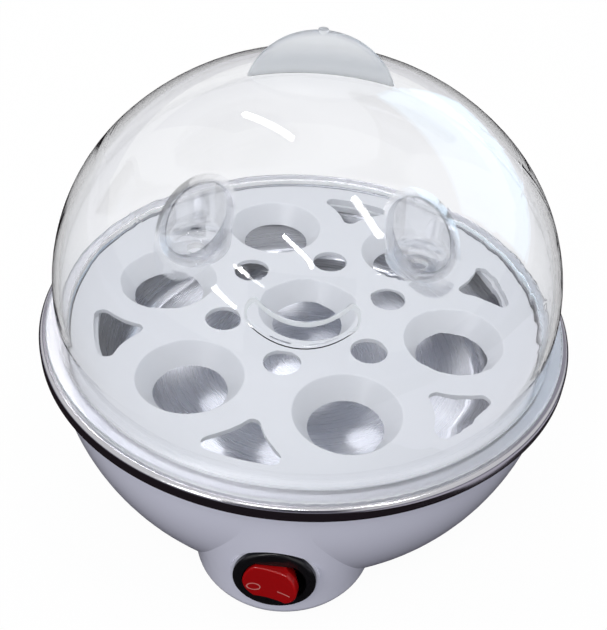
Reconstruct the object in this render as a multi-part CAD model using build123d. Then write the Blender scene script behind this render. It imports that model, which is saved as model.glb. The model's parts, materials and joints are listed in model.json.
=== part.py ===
from build123d import *
from math import asin, cos, radians, sin, sqrt, tan
import os

# Electric egg cooker for seven eggs, standing on its feet.
# Millimetres. Origin at the middle of the footprint on the table, +Z up, the switch faces -Y.

# Overall sizes
rim_radius = 80.0
rim_low_height = 53.0
foot_height = 2.5

# Clearances
lift_gap = 0.3
fixed_gap = 0.1
pin_gap = 0.05
overrun = 1.0

# Heating dish, pressed from one sheet with a turned-down rim
rim_depth = 4.0
rim_round = 0.9
rim_land = 7.7
dish_sheet = 0.7
dish_depth = 20.0
dish_ledge = 3.8
dish_slope = 12.0
dish_corner = 0.9
dish_bend = 6.0

# Egg tray
tray_sheet = 1.4
tray_sink = 0.4
tray_edge_round = 0.6
cup_count = 6
cup_radius = 15.2
cup_foot_radius = 10.7
cup_depth = 6.3
cup_wall = 1.3
cup_lip_round = 0.6
cup_edge_margin = 11.0
steam_hole_radius = 5.5
steam_hole_pitch = 26.1
window_neck = 1.0
window_base_inset = 7.4
window_round = 2.4
skirt_inset = 0.6
skirt_wall = 1.4
skirt_depth = 3.0
tray_turn = 19.4

# Lid, one clear moulding, set down a little turned
lid_turn = 2.7
lid_wall = 1.8
lid_setback = 5.6
flange_setback = 2.0
flange_thick = 1.4
flange_round = 0.5
lid_straight = 11.4
dome_shoulder = 60.7
dome_change_angle = 45.0
dimple_pitch = 51.0
dimple_angle = 31.7
dimple_radius = 7.7
dimple_floor_radius = 6.9
dimple_depth = 8.9
dimple_height = 18.0
dimple_round = 2.5
dimple_wall = 1.6
vent_radius = 2.25
fin_radius = 20.3
fin_sink = 9.5
fin_thick = 2.8
fin_round = 0.9
gate_radius = 1.3
gate_height = 0.5
smile_top_half_width = 11.0
smile_low_half_width = 12.6
smile_half_width = 12.9
smile_top_end_rise = 49.4
smile_top_rise = 45.9
smile_end_rise = 47.6
smile_low_end_rise = 45.3
smile_low_rise = 41.5
smile_line = 0.8
smile_relief = 0.4

# Body shell, a zone of a ball with an upright chin for the switch
body_setback = 3.4
ball_drop = 1.2
body_wall = 2.2
body_rise = 1.5
seat_ring_thick = 2.0
seat_ring_width = 2.4
chin_half_width = 26.0
chin_back_inset = 40.0
chin_top_swell = 0.6
chin_setback = 3.2
chin_low_sag = 23.0
chin_round = 4.0

# Seal between the shell and the dish
seal_inset = 0.3
seal_width = 1.7

# Base cover, tie posts and feet
base_sheet = 2.2
post_angles = (120.0, 0.0, 240.0)
post_inset = 9.0
post_radius = 6.0
boss_radius = 4.0
boss_length = 16.6
tie_radius = 1.9
tie_grip = 8.0
tie_head_radius = 3.6
tie_head_height = 2.4
tie_recess = 3.2
cross_length = 4.2
cross_width = 0.9
cross_depth = 1.2
foot_angles = (45.0, 135.0, 225.0, 315.0)
foot_inset = 10.0
foot_radius = 6.0
foot_round = 0.8
foot_stem_radius = 2.4
foot_head_radius = 3.4
foot_head_height = 1.5

# Heating element, a sheathed tube brazed under the dish
element_tube = 3.4
element_flat = 0.4
element_clearance = 7.6
element_gap_angle = 50.0
element_leg = 3.0
pin_radius = 1.25
pin_length = 5.5
bead_radius = 3.0
bead_height = 2.0
crimp_wall = 0.5
crimp_length = 4.0
crimp_lap = 2.0

# Thermostat under the middle of the dish
cap_radius = 8.0
cap_height = 3.0
holder_radius = 7.4
holder_height = 7.0
tab_pitch = 4.5
tab_width = 6.3
tab_thick = 0.8
tab_length = 7.0
strap_half_length = 16.5
strap_width = 9.0
strap_eye = 3.0
strap_thick = 0.8
stud_pitch = 13.0
stud_radius = 1.5
stud_reach = 4.5
nut_radius = 3.2
nut_height = 2.2
tag_radius = 3.6
tag_thick = 0.7
tag_tongue = 10.0
tag_tongue_width = 3.0

# Thermal cut-out clipped under the dish
fuse_setback = 16.0
fuse_radius = 2.0
fuse_length = 10.0
sleeve_wall = 0.5
sleeve_length = 17.0
clip_width = 6.0
clip_thick = 0.6
clip_foot = 4.0

# Terminal block on the base cover
pole_pitch = 8.0
pole_count = 3
block_depth = 9.0
block_height = 8.0
block_margin = 5.0
block_bore_height = 3.5
block_screw_radius = 1.4
block_screw_depth = 3.0
block_slot_width = 0.6
block_slot_depth = 0.5

# Cord gland in the rear wall
gland_rise = 13.5
gland_panel = 2.6
gland_inset = 0.7
gland_bore = 3.3
gland_barrel = 5.0
gland_flange = 7.5
gland_flange_thick = 1.6
gland_flange_round = 0.6
gland_collar = 6.0
gland_collar_thick = 1.4
gland_boss_margin = 1.5

# Round rocker switch
switch_rise = 19.7
barrel_radius = 9.8
bezel_lip = 1.6
bezel_thick = 2.0
bezel_round = 0.9
bezel_bore_step = 1.0
cheek_depth = 1.6
cheek_setback = 0.3
barrel_length = 11.0
barrel_wall = 1.2
barrel_back = 1.5
panel_thick = 2.6
panel_step = 0.6
panel_margin = 0.8
pivot_depth = 3.4
rocker_gap = 1.1
rocker_flare = 1.6
rocker_half_height = 6.2
rocker_face = 4.7
rocker_dish = 1.2
rocker_round = 0.5
rocker_tilt = 11.0
trunnion_radius = 1.2
trunnion_end_gap = 0.4
stem_half = 2.2
stem_reach = 3.4
plunger_radius = 1.2
plunger_body = 1.2
spring_wall = 0.4
spring_length = 2.0
blade_drop = 5.4
blade_half_length = 6.2
blade_width = 4.0
blade_thick = 0.5
blade_knuckle = 0.45
blade_tilt = 8.0
terminal_pitch = 5.5
terminal_width = 5.0
terminal_reach = 9.0
contact_gap = 0.15

# Inner wiring
lead_radius = 1.1
lead_run = 8.0
drop_run = 4.0
floor_run = 2.2
spade_wall = 0.5
spade_length = 6.2
bend_share = 0.45
loom_offset = 18.0

# Places that several pieces share
rim_top = rim_low_height + rim_depth
mouth_radius = rim_radius - rim_land
tray_radius = mouth_radius - lift_gap
tray_top = rim_top - tray_sink
tray_under = tray_top - tray_sheet
ledge_radius = mouth_radius - dish_ledge
dish_floor = rim_top - dish_depth
dish_under = dish_floor - dish_sheet
dish_floor_radius = ledge_radius - dish_slope
cup_pitch = tray_radius - cup_edge_margin - cup_radius
lid_radius = rim_radius - lid_setback
lid_spring = rim_top + lid_straight
dome_reach = lid_radius - dome_shoulder
dome_centre = lid_spring - dome_reach * tan(radians(dome_change_angle))
dome_crown = dome_shoulder + dome_reach / cos(radians(dome_change_angle))
body_radius = rim_radius - body_setback
body_inner = body_radius - body_wall
body_low = foot_height
ball_height = rim_low_height - ball_drop
body_depth = ball_height - body_low
base_radius = sqrt(body_inner**2 - body_depth**2) - lift_gap
base_top = body_low + base_sheet
seat_ring_radius = base_radius - seat_ring_width
post_pitch = base_radius - post_inset
post_top = dish_under - boss_length
foot_pitch = base_radius - foot_inset
element_radius = post_pitch - boss_radius - element_clearance
chin_front_low = -(body_radius - chin_setback)
chin_front_top = -(body_radius + chin_top_swell)
switch_height = body_low + switch_rise
panel_face = chin_front_low - panel_step
bezel_face = panel_face - bezel_thick
pivot_y = bezel_face + pivot_depth
barrel_end = panel_face + barrel_length
bezel_radius = barrel_radius + bezel_lip
bezel_bore = barrel_radius - bezel_bore_step
rocker_radius = bezel_bore - rocker_gap
blade_y = pivot_y + blade_drop
gland_height = body_low + gland_rise
gland_face = sqrt(body_radius**2 - (ball_height - gland_height) ** 2) - gland_inset
pin_angle = element_gap_angle / 2
pin_x = element_radius * sin(radians(pin_angle))
pin_y = element_radius * cos(radians(pin_angle))
leg_low = dish_under - 2 * element_tube + element_flat - element_leg
pin_low = leg_low - pin_length
holder_low = dish_under - cap_height - holder_height
tab_low = holder_low - tab_length
fuse_height = dish_under - clip_thick - sleeve_wall - fuse_radius - fixed_gap - pin_gap
bore_height = base_top + block_bore_height
block_low_x = pin_x - pole_pitch - block_margin
block_high_x = pin_x + pole_pitch + block_margin
block_front = sqrt(seat_ring_radius**2 - block_high_x**2) - block_depth - fixed_gap
lead_floor = base_top + floor_run

base_align = (Align.CENTER, Align.CENTER, Align.MIN)


def polar(radius, angle, height=0):
    """A point at a plan angle measured from the +X axis."""
    return Vector(radius * cos(radians(angle)), radius * sin(radians(angle)), height)


def rod(radius, start, end):
    """A round bar between two points."""
    way = Vector(*end) - Vector(*start)
    return Plane(origin=start, z_dir=way) * Cylinder(radius, way.length, align=base_align)


def disc(radius, low, high):
    """An upright cylinder on the main axis."""
    return Pos(0, 0, low) * Cylinder(radius, high - low, align=base_align)


def ring(inner, outer, low, high):
    """An upright ring on the main axis."""
    return disc(outer, low, high) - disc(inner, low - overrun, high + overrun)


def turned(edges):
    """A solid of revolution about the main axis from a closed outline of radius and height."""
    return revolve(Plane.XZ * make_face(edges), Axis.Z)


def dome_height(radius):
    """Height of the lid's outer face over a plan radius on its crown."""
    return dome_centre + sqrt(dome_crown**2 - radius**2)


def dome_block(wall, low):
    """The lid's outer form filled, or its hollow when a wall is given."""
    shoulder = dome_shoulder - wall
    crown = dome_crown - wall
    foot = lid_radius - wall
    change = radians(dome_change_angle)
    change_point = (dome_reach + shoulder * cos(change), lid_spring + shoulder * sin(change))
    mid_shoulder = (dome_reach + shoulder * cos(change / 2), lid_spring + shoulder * sin(change / 2))
    lean = asin(change_point[0] / crown) / 2
    mid_crown = (crown * sin(lean), dome_centre + crown * cos(lean))
    edges = Polyline((0, low), (foot, low), (foot, lid_spring))
    edges += ThreePointArc((foot, lid_spring), mid_shoulder, change_point)
    edges += ThreePointArc(change_point, mid_crown, (0, dome_centre + crown))
    edges += Line((0, dome_centre + crown), (0, low))
    return turned(edges)


def smile_outline(outset):
    """Upright outline of the crescent on the lid's front, grown by an amount."""
    top = (smile_top_half_width, rim_top + smile_top_end_rise + outset)
    end = (smile_half_width + outset, rim_top + smile_end_rise)
    low = (smile_low_half_width, rim_top + smile_low_end_rise - outset)
    edges = ThreePointArc((-top[0], top[1]), (0, rim_top + smile_top_rise + outset), top)
    edges += ThreePointArc(top, end, low)
    edges += ThreePointArc(low, (0, rim_top + smile_low_rise - outset), (-low[0], low[1]))
    edges += ThreePointArc((-low[0], low[1]), (-end[0], end[1]), (-top[0], top[1]))
    return Plane.XZ * make_face(edges)


def lid():
    """Clear dome with its resting flange, two steam dimples, a grip fin and a raised crescent."""
    outer = dome_block(0, rim_top)
    hollow = dome_block(lid_wall, rim_top - overrun)
    floor = dome_height(dimple_pitch) - dimple_depth
    cup = Cone(dimple_floor_radius + dimple_wall, dimple_radius + dimple_wall, dimple_height, align=base_align)
    cup = fillet(cup.edges().group_by(Axis.Z)[0], dimple_round + dimple_wall)
    well = Cone(dimple_floor_radius, dimple_radius, dimple_height, align=base_align)
    well = fillet(well.edges().group_by(Axis.Z)[0], dimple_round)
    axes = [Pos(polar(dimple_pitch, side * dimple_angle - 90)) for side in (-1, 1)]
    for axis in axes:
        hollow -= axis * Pos(0, 0, floor - dimple_wall) * cup
    shell = outer - hollow
    for axis in axes:
        shell -= axis * Pos(0, 0, floor) * well
        shell -= axis * disc(vent_radius, floor - dimple_wall - overrun, floor + overrun)
    flange_radius = rim_radius - flange_setback
    flange = ring(lid_radius - lid_wall, flange_radius, rim_top, rim_top + flange_thick)
    flange = fillet(flange.edges().filter_by(GeomType.CIRCLE).group_by(SortBy.RADIUS)[-1], flange_round)
    front = extrude(smile_outline(smile_line / 2) - smile_outline(-smile_line / 2), lid_radius)
    raised = front & dome_block(-smile_relief, rim_top) - outer
    crown = dome_height(0)
    grip = Pos(0, 0, crown - fin_sink) * (Rot(X=90) * Cylinder(fin_radius, fin_thick))
    grip = fillet(grip.edges().filter_by(GeomType.CIRCLE), fin_round)
    gate = disc(gate_radius, crown - fin_sink, crown - fin_sink + fin_radius + gate_height)
    shell += flange + (grip + gate - hollow) + raised
    return Rot(Z=lid_turn) * shell


def window_face():
    """One rounded opening along +X, bounded by the ribs round two cups and by an arc near the tray's edge."""
    half_step = 180 / cup_count
    outer = tray_radius - window_base_inset
    cup_place = polar(cup_pitch, half_step)
    side = cup_place.Y + window_neck
    apex_run = sqrt(side**2 - cup_place.Y**2)
    along = (outer**2 - side**2 + cup_pitch**2) / (2 * cup_pitch)
    across = sqrt(outer**2 - along**2)
    corner = polar(along, half_step) + polar(across, half_step - 90)
    apex = Vector(cup_place.X + apex_run, 0)
    inward = ((apex + corner) / 2 - cup_place).normalized() * side + cup_place
    low_corner, low_inward = Vector(corner.X, -corner.Y), Vector(inward.X, -inward.Y)
    edges = [ThreePointArc(apex, inward, corner), ThreePointArc(corner, (outer, 0), low_corner),
             ThreePointArc(low_corner, low_inward, apex)]
    return fillet(make_face(edges).vertices(), window_round)


def egg_tray():
    """Lift-out tray with seven tapered egg cups, steam holes and windows."""
    plate = disc(tray_radius, tray_under, tray_top)
    plate = fillet(plate.edges().filter_by(GeomType.CIRCLE), tray_edge_round)
    wall_in = dish_slope * skirt_depth / (tray_under - dish_floor) + dish_sheet + lift_gap
    skirt_outer = ledge_radius - wall_in - skirt_inset
    plate += ring(skirt_outer - skirt_wall, skirt_outer, tray_under - skirt_depth, tray_under)
    step = 360 / cup_count
    places = [Vector(0, 0, 0)]
    places += [polar(cup_pitch, k * step + tray_turn - 90) for k in range(cup_count)]
    low = tray_top - cup_depth
    for place in places:
        cup = Cone(cup_foot_radius + cup_wall, cup_radius + cup_wall, cup_depth, align=base_align)
        plate += Pos(place) * Pos(0, 0, low) * cup
    for place in places:
        bore = Cone(cup_foot_radius, cup_radius, cup_depth, align=base_align)
        plate -= Pos(place) * (Pos(0, 0, low) * bore)
    lips = plate.edges().filter_by(GeomType.CIRCLE).group_by(Axis.Z)[-1]
    plate = fillet([e for e in lips if abs(e.radius - cup_radius) < fixed_gap], cup_lip_round)
    window = extrude(window_face(), tray_sheet + 2 * overrun)
    for k in range(cup_count):
        turn = (k + 1 / 2) * step + tray_turn - 90
        plate -= Pos(0, 0, tray_under - overrun) * (Rot(Z=turn) * window)
        hole = disc(steam_hole_radius, tray_under - overrun, tray_top + overrun)
        plate -= Pos(polar(steam_hole_pitch, turn)) * hole
    return plate


def heating_dish():
    """Pressed steel dish whose rim turns down over the shell."""
    half = dish_sheet / 2
    path = FilletPolyline(
        (0, dish_floor - half),
        (dish_floor_radius, dish_floor - half),
        (ledge_radius, tray_under - half),
        (mouth_radius + half, tray_under - half),
        (mouth_radius + half, rim_top - half),
        (rim_radius - half, rim_top - half),
        (rim_radius - half, rim_low_height),
        radius=[dish_bend, dish_corner, dish_corner, dish_corner, rim_round],
    )
    return revolve(Plane.XZ * trace(path, dish_sheet), Axis.Z)


def dish_seal():
    """Soft ring squeezed between the shell's edge and the dish's rim."""
    outer = body_radius - seal_inset
    return ring(outer - seal_width, outer, rim_low_height + body_rise, rim_top - dish_sheet)


def body_zone(radius, low):
    """A ball zone under the rim with a short straight band above it."""
    foot = sqrt(radius**2 - (ball_height - low) ** 2)
    lean = asin((ball_height - low) / radius) / 2
    middle = (radius * cos(lean), ball_height - radius * sin(lean))
    top = rim_low_height + body_rise
    edges = Polyline((0, top), (0, low), (foot, low))
    edges += ThreePointArc((foot, low), middle, (radius, ball_height))
    edges += Polyline((radius, ball_height), (radius, top), (0, top))
    return turned(edges)


def chin_section(height, half, corner, front):
    """Plan outline of the chin at one height."""
    back = -(body_radius - chin_back_inset)
    edges = ThreePointArc((-half, corner), (0, front), (half, corner))
    edges += Polyline((half, corner), (half, back), (-half, back), (-half, corner))
    return Pos(0, 0, height) * make_face(edges)


def chin_form(inset, low):
    """The chin as a filled form, drawn in by an inset for its hollow."""
    half = chin_half_width - inset
    top_front = chin_front_top + inset
    low_front = chin_front_low + inset
    top_corner = -sqrt(top_front**2 - half**2)
    low_corner = low_front + chin_low_sag - inset
    share = (low - body_low) / (rim_low_height - body_low)
    corner = low_corner + share * (top_corner - low_corner)
    front = low_front + share * (top_front - low_front)
    sections = [
        chin_section(low, half, corner, front),
        chin_section(rim_low_height, half, top_corner, top_front),
    ]
    return loft(sections, ruled=True)


def body_shell():
    """White shell: ball zone and chin in one wall, with flat seats for the switch and the gland."""
    chin = chin_form(0, body_low)
    chin = fillet(chin.faces().sort_by(Axis.Z)[0].edges().sort_by(Axis.Y)[:-1], chin_round)
    panel_place = Plane(origin=(0, panel_face, switch_height), z_dir=(0, 1, 0))
    rear_place = Plane(origin=(0, gland_face, gland_height), z_dir=(0, -1, 0))
    panel_radius = bezel_radius + panel_margin
    rear_radius = gland_flange + gland_boss_margin
    shell = body_zone(body_radius, body_low) + chin
    shell -= body_zone(body_inner, body_low - overrun) + chin_form(body_wall, body_low + body_wall)
    shell -= disc(body_inner, rim_low_height, rim_top)
    shell += panel_place * Cylinder(panel_radius, panel_thick, align=base_align)
    shell += rear_place * Cylinder(rear_radius, gland_panel, align=base_align)
    spot = Cylinder(panel_radius, body_wall + chin_round, align=base_align)
    shell -= panel_place * (Rot(X=180) * spot)
    spot = Cylinder(rear_radius, body_radius - gland_face, align=base_align)
    shell -= rear_place * (Rot(X=180) * spot)
    shell -= panel_place * Cylinder(barrel_radius + fixed_gap, 2 * barrel_length)
    shell -= rear_place * Cylinder(gland_barrel + fixed_gap, 2 * gland_panel)
    pocket = Cylinder(gland_collar + lift_gap, gland_collar_thick + lift_gap, align=base_align)
    shell -= rear_place * (Pos(0, 0, gland_panel) * pocket)
    seat_low = base_top
    seat = ring(seat_ring_radius, body_radius, seat_low, seat_low + seat_ring_thick)
    return shell + (seat & body_zone(body_radius - body_wall / 2, body_low))


def base_cover():
    """Round floor with three hollow posts for the tie screws and holes for the feet."""
    cover = disc(base_radius, body_low, base_top)
    for angle in post_angles:
        place = Pos(polar(post_pitch, angle))
        cover += place * disc(post_radius, base_top, post_top)
    for angle in post_angles:
        place = Pos(polar(post_pitch, angle))
        cover -= place * disc(tie_radius + lift_gap, body_low - overrun, post_top + overrun)
        cover -= place * disc(tie_head_radius + lift_gap, body_low - overrun, body_low + tie_recess)
    for angle in foot_angles:
        hole = disc(foot_stem_radius + fixed_gap, body_low - overrun, base_top + overrun)
        cover -= Pos(polar(foot_pitch, angle)) * hole
    screw_hole = disc(block_screw_radius + pin_gap, body_low + base_sheet / 2, base_top + overrun)
    return cover - Pos(pin_x + pole_pitch / 2, block_front + block_depth / 2, 0) * screw_hole


def foot(angle):
    """Rubber foot with a stem that snaps through the base cover."""
    pad = disc(foot_radius, 0, foot_height)
    pad = fillet(pad.edges().group_by(Axis.Z)[0], foot_round)
    pad += disc(foot_stem_radius, foot_height, base_top)
    pad += disc(foot_head_radius, base_top, base_top + foot_head_height)
    return Pos(polar(foot_pitch, angle)) * pad


def tie_screws():
    """Three long screws from the base cover up into the dish's bosses."""
    screws = []
    for angle in post_angles:
        seat = body_low + tie_recess
        head = disc(tie_head_radius, seat - tie_head_height, seat)
        for turn in (0, 90):
            slot = Box(cross_length, cross_width, 2 * cross_depth)
            head -= Pos(0, 0, seat - tie_head_height) * (Rot(Z=turn) * slot)
        screws.append(Pos(polar(post_pitch, angle)) * (head + disc(tie_radius, seat, post_top + tie_grip)))
    return Compound(screws)


def dish_bosses():
    """Three threaded spacers brazed under the dish."""
    bosses = []
    for angle in post_angles:
        bore = disc(tie_radius + pin_gap, post_top - overrun, post_top + tie_grip + lift_gap)
        bosses.append(Pos(polar(post_pitch, angle)) * (disc(boss_radius, post_top, dish_under) - bore))
    return Compound(bosses)


def heating_element():
    """Sheathed tube bent into an open ring, flattened where it is brazed to the dish."""
    height = dish_under - element_tube + element_flat
    section = Plane.XZ * (Pos(element_radius, height) * Circle(element_tube))
    sweep_angle = 360 - element_gap_angle
    tube = Rot(Z=90 + pin_angle) * revolve(section, Axis.Z, revolution_arc=sweep_angle)
    for side in (-1, 1):
        end = Vector(side * pin_x, pin_y, height)
        tube += Pos(end) * Sphere(element_tube)
        tube += rod(element_tube, (end.X, end.Y, leg_low), end)
    return tube - disc(mouth_radius, dish_under, rim_top)


def element_pins():
    """Cold pins that leave the element's two legs."""
    ends = [(side * pin_x, pin_y) for side in (-1, 1)]
    return Compound([rod(pin_radius, (x, y, leg_low), (x, y, pin_low)) for x, y in ends])


def element_beads():
    """Ceramic collars under the element's legs."""
    bead = ring(pin_radius + fixed_gap, bead_radius, leg_low - bead_height, leg_low)
    return Compound([Pos(side * pin_x, pin_y, 0) * bead for side in (-1, 1)])


def pin_crimps():
    """Crimp sleeves that join the pins to their leads."""
    bore = pin_radius + pin_gap
    low = pin_low + crimp_lap - crimp_length
    sleeve = ring(bore, bore + crimp_wall, low, low + crimp_length)
    return Compound([Pos(side * pin_x, pin_y, 0) * sleeve for side in (-1, 1)])


def thermostat_cap():
    """Metal cap of the thermostat, pressed against the dish."""
    return disc(cap_radius, dish_under - cap_height, dish_under)


def thermostat_body():
    """Insulating holder of the thermostat."""
    return disc(holder_radius, holder_low, dish_under - cap_height)


def thermostat_tabs():
    """The thermostat's two flat tabs."""
    tab = Box(tab_width, tab_thick, tab_length, align=base_align)
    return Compound([Pos(0, side * tab_pitch, tab_low) * tab for side in (-1, 1)])


def thermostat_strap():
    """Steel strap that holds the thermostat's cap up against the dish."""
    top = dish_under - cap_height
    bar = Box(2 * strap_half_length, strap_width, strap_thick, align=base_align)
    strap = Pos(0, 0, top - strap_thick) * bar
    strap += disc(holder_radius + strap_eye, top - strap_thick, top)
    strap -= disc(holder_radius + fixed_gap, top - strap_thick - overrun, top + overrun)
    for side in (-1, 1):
        hole = disc(stud_radius + fixed_gap, top - strap_thick - overrun, top + overrun)
        strap -= Pos(side * stud_pitch, 0, 0) * hole
    return strap


def strap_studs():
    """Two studs welded to the dish for the strap."""
    low = dish_under - cap_height - stud_reach
    return Compound([Pos(side * stud_pitch, 0, 0) * disc(stud_radius, low, dish_under) for side in (-1, 1)])


def strap_nuts():
    """Nuts under the strap, one of them over the earth tag."""
    nuts = []
    for side, packing in ((-1, 0), (1, tag_thick)):
        top = dish_under - cap_height - strap_thick - packing
        nut = extrude(RegularPolygon(nut_radius, 6), nut_height)
        nut -= disc(stud_radius + pin_gap, -overrun, nut_height + overrun)
        nuts.append(Pos(side * stud_pitch, 0, top - nut_height) * nut)
    return Compound(nuts)


def earth_tag():
    """Ring tag clamped under the strap's nut, with a tongue for its lead."""
    top = dish_under - cap_height - strap_thick
    tag = disc(tag_radius, top - tag_thick, top)
    tongue = Box(tag_tongue_width, tag_tongue, tag_thick, align=(Align.CENTER, Align.MIN, Align.MAX))
    tag += Pos(0, 0, top) * tongue
    tag -= disc(stud_radius + fixed_gap, top - tag_thick - overrun, top + overrun)
    return Pos(stud_pitch, 0, 0) * tag


def thermal_fuse():
    """One-shot thermal cut-out inside its sleeve."""
    half = fuse_length / 2
    return rod(fuse_radius, (-half, -fuse_setback, fuse_height), (half, -fuse_setback, fuse_height))


def fuse_sleeve():
    """Heat-proof sleeve round the cut-out."""
    half = sleeve_length / 2
    start = (-half, -fuse_setback, fuse_height)
    end = (half, -fuse_setback, fuse_height)
    reach = half + overrun
    far_start = (-reach, -fuse_setback, fuse_height)
    far_end = (reach, -fuse_setback, fuse_height)
    bore = fuse_radius + fixed_gap
    return rod(bore + sleeve_wall, start, end) - rod(bore, far_start, far_end)


def fuse_clip():
    """Bent strip welded under the dish that carries the sleeve."""
    inner = fuse_radius + fixed_gap + sleeve_wall + pin_gap
    outer = inner + clip_thick
    half = clip_width / 2
    middle = Vector(0, -fuse_setback, fuse_height)
    low_half = rod(outer, middle - Vector(half, 0, 0), middle + Vector(half, 0, 0))
    rise = dish_under - fuse_height
    lift = Box(clip_width, 2 * outer, rise, align=base_align)
    wing = Box(clip_width, 2 * (outer + clip_foot), clip_thick, align=(Align.CENTER, Align.CENTER, Align.MAX))
    strip = low_half + Pos(middle) * lift + Pos(0, -fuse_setback, dish_under) * wing
    reach = Vector(half + overrun, 0, 0)
    strip -= rod(inner, middle - reach, middle + reach)
    hollow = Box(clip_width + overrun, 2 * inner, rise, align=base_align)
    return strip - Pos(middle) * hollow


def pole_x(index):
    """Plan place of one pole of the terminal block: earth, neutral, live."""
    return pin_x + (index - 1) * pole_pitch


def terminal_block():
    """Three-pole block where the mains cord would be connected."""
    width = block_high_x - block_low_x
    box_align = (Align.MIN, Align.MIN, Align.MIN)
    block = Pos(block_low_x, block_front, base_top) * Box(width, block_depth, block_height, align=box_align)
    for index in range(pole_count):
        x = pole_x(index)
        block -= rod(lead_radius + fixed_gap, (x, block_front - overrun, bore_height),
                     (x, block_front + block_depth + overrun, bore_height))
        well = disc(block_screw_radius + pin_gap, bore_height, base_top + block_height + overrun)
        block -= Pos(x, block_front + block_depth / 2, 0) * well
    fixing = disc(block_screw_radius + fixed_gap, base_top - overrun, base_top + block_height + overrun)
    return block - Pos(pin_x + pole_pitch / 2, block_front + block_depth / 2, 0) * fixing


def slotted_screw(low, high):
    """Small headless screw with a driver slot."""
    slot = Box(2 * block_screw_radius, block_slot_width, 2 * block_slot_depth)
    return disc(block_screw_radius, low, high) - Pos(0, 0, high) * slot


def terminal_screws():
    """Clamping screws of the terminal block's poles."""
    high = base_top + block_height
    screw = slotted_screw(high - block_screw_depth, high)
    y = block_front + block_depth / 2
    return Compound([Pos(pole_x(index), y, 0) * screw for index in range(pole_count)])


def block_screw():
    """Screw that holds the terminal block on the base cover."""
    screw = slotted_screw(body_low + base_sheet / 2, base_top + block_height)
    return Pos(pin_x + pole_pitch / 2, block_front + block_depth / 2, 0) * screw


def cord_gland():
    """Bushing in the rear wall for the mains cord."""
    flange = Cylinder(gland_flange, gland_flange_thick, align=(Align.CENTER, Align.CENTER, Align.MAX))
    flange = fillet(flange.edges().group_by(Axis.Z)[0], gland_flange_round)
    barrel = Cylinder(gland_barrel, gland_panel + gland_collar_thick, align=base_align)
    collar = Pos(0, 0, gland_panel) * Cylinder(gland_collar, gland_collar_thick, align=base_align)
    gland = flange + barrel + collar
    gland -= Cylinder(gland_bore, 2 * (gland_flange_thick + gland_panel + gland_collar_thick))
    return Plane(origin=(0, gland_face, gland_height), z_dir=(0, -1, 0)) * gland


def switch_housing():
    """Black switch case: bezel ring with two cheeks, barrel through the panel and a closed back."""
    bezel = Cylinder(bezel_radius, bezel_thick, align=(Align.CENTER, Align.CENTER, Align.MAX))
    bezel = fillet(bezel.edges().group_by(Axis.Z)[0], bezel_round)
    case = bezel + Cylinder(barrel_radius, barrel_length, align=base_align)
    case -= Pos(0, 0, -bezel_thick) * Cylinder(bezel_bore, 2 * bezel_thick)
    cavity = barrel_radius - barrel_wall
    depth = bezel_thick + barrel_length - barrel_back
    case -= Pos(0, 0, -bezel_thick) * Cylinder(cavity, depth, align=base_align)
    cheeks = Cylinder(barrel_radius, cheek_depth, align=base_align)
    cheeks -= Box(4 * barrel_radius, 2 * (rocker_half_height + lift_gap), 4 * cheek_depth)
    case += Pos(0, 0, cheek_setback - bezel_thick) * cheeks
    pivot = pivot_depth - bezel_thick
    cross_bore = Cylinder(trunnion_radius + pin_gap, 2 * (barrel_radius + overrun))
    case -= Pos(0, 0, pivot) * (Rot(X=90) * cross_bore)
    for x in (0, -terminal_pitch):
        slot = Box(tab_thick + 2 * pin_gap, terminal_width + 2 * pin_gap, 2 * barrel_length)
        case -= Pos(x, 0, 2 * barrel_length - barrel_back) * slot
    return switch_place() * case


def switch_place():
    """Panel frame of the switch: +X to the right, inwards along its own axis."""
    return Plane(origin=(0, panel_face, switch_height), x_dir=(1, 0, 0), z_dir=(0, 1, 0))


def rocker_place(tilt):
    """Frame at the rocker's pivot with its own axis pointing outwards, tilted about the upright pin."""
    lean = radians(tilt)
    outwards = (sin(lean), -cos(lean), 0)
    return Plane(origin=(0, pivot_y, switch_height), x_dir=(cos(lean), sin(lean), 0), z_dir=outwards)


def switch_rocker():
    """Red rocker with a hollowed face, flat top and bottom, two trunnions and a stem for the plunger."""
    face_edge = rocker_face + rocker_dish
    cone = Cone(rocker_radius - rocker_flare, rocker_radius, pivot_depth, align=base_align)
    top = Pos(0, 0, pivot_depth) * Cylinder(rocker_radius, face_edge - pivot_depth, align=base_align)
    scoop_radius = (rocker_radius**2 + rocker_dish**2) / (2 * rocker_dish)
    scoop = Rot(X=90) * Cylinder(scoop_radius, 4 * rocker_radius)
    body = cone + top - Pos(0, 0, rocker_face + scoop_radius) * scoop
    body &= Box(4 * rocker_radius, 2 * rocker_half_height, 4 * face_edge)
    body = fillet(body.faces().sort_by(Axis.Z)[-1].edges(), rocker_round)
    pin_half = barrel_radius - trunnion_end_gap
    body += Rot(X=90) * Cylinder(trunnion_radius, 2 * pin_half)
    stem = Box(2 * stem_half, 2 * stem_half, stem_reach + trunnion_radius,
               align=(Align.CENTER, Align.CENTER, Align.MAX))
    body += Pos(0, 0, trunnion_radius) * stem
    bore = Cylinder(plunger_radius + pin_gap, spring_length + plunger_body, align=base_align)
    return rocker_place(-rocker_tilt) * (body - Pos(0, 0, -stem_reach) * bore)


def rocker_plunger():
    """Round-nosed plunger that slides in the rocker's stem."""
    nose = Pos(0, 0, -stem_reach) * Sphere(plunger_radius)
    body = Pos(0, 0, -stem_reach) * Cylinder(plunger_radius, plunger_body, align=base_align)
    return rocker_place(-rocker_tilt) * (nose + body)


def rocker_spring():
    """Spring behind the plunger, as a plain tube of its outer size."""
    low = plunger_body - stem_reach
    tube = Cylinder(plunger_radius, spring_length, align=base_align)
    tube -= Cylinder(plunger_radius - spring_wall, 2 * spring_length, align=base_align)
    return rocker_place(-rocker_tilt) * (Pos(0, 0, low) * tube)


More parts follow.
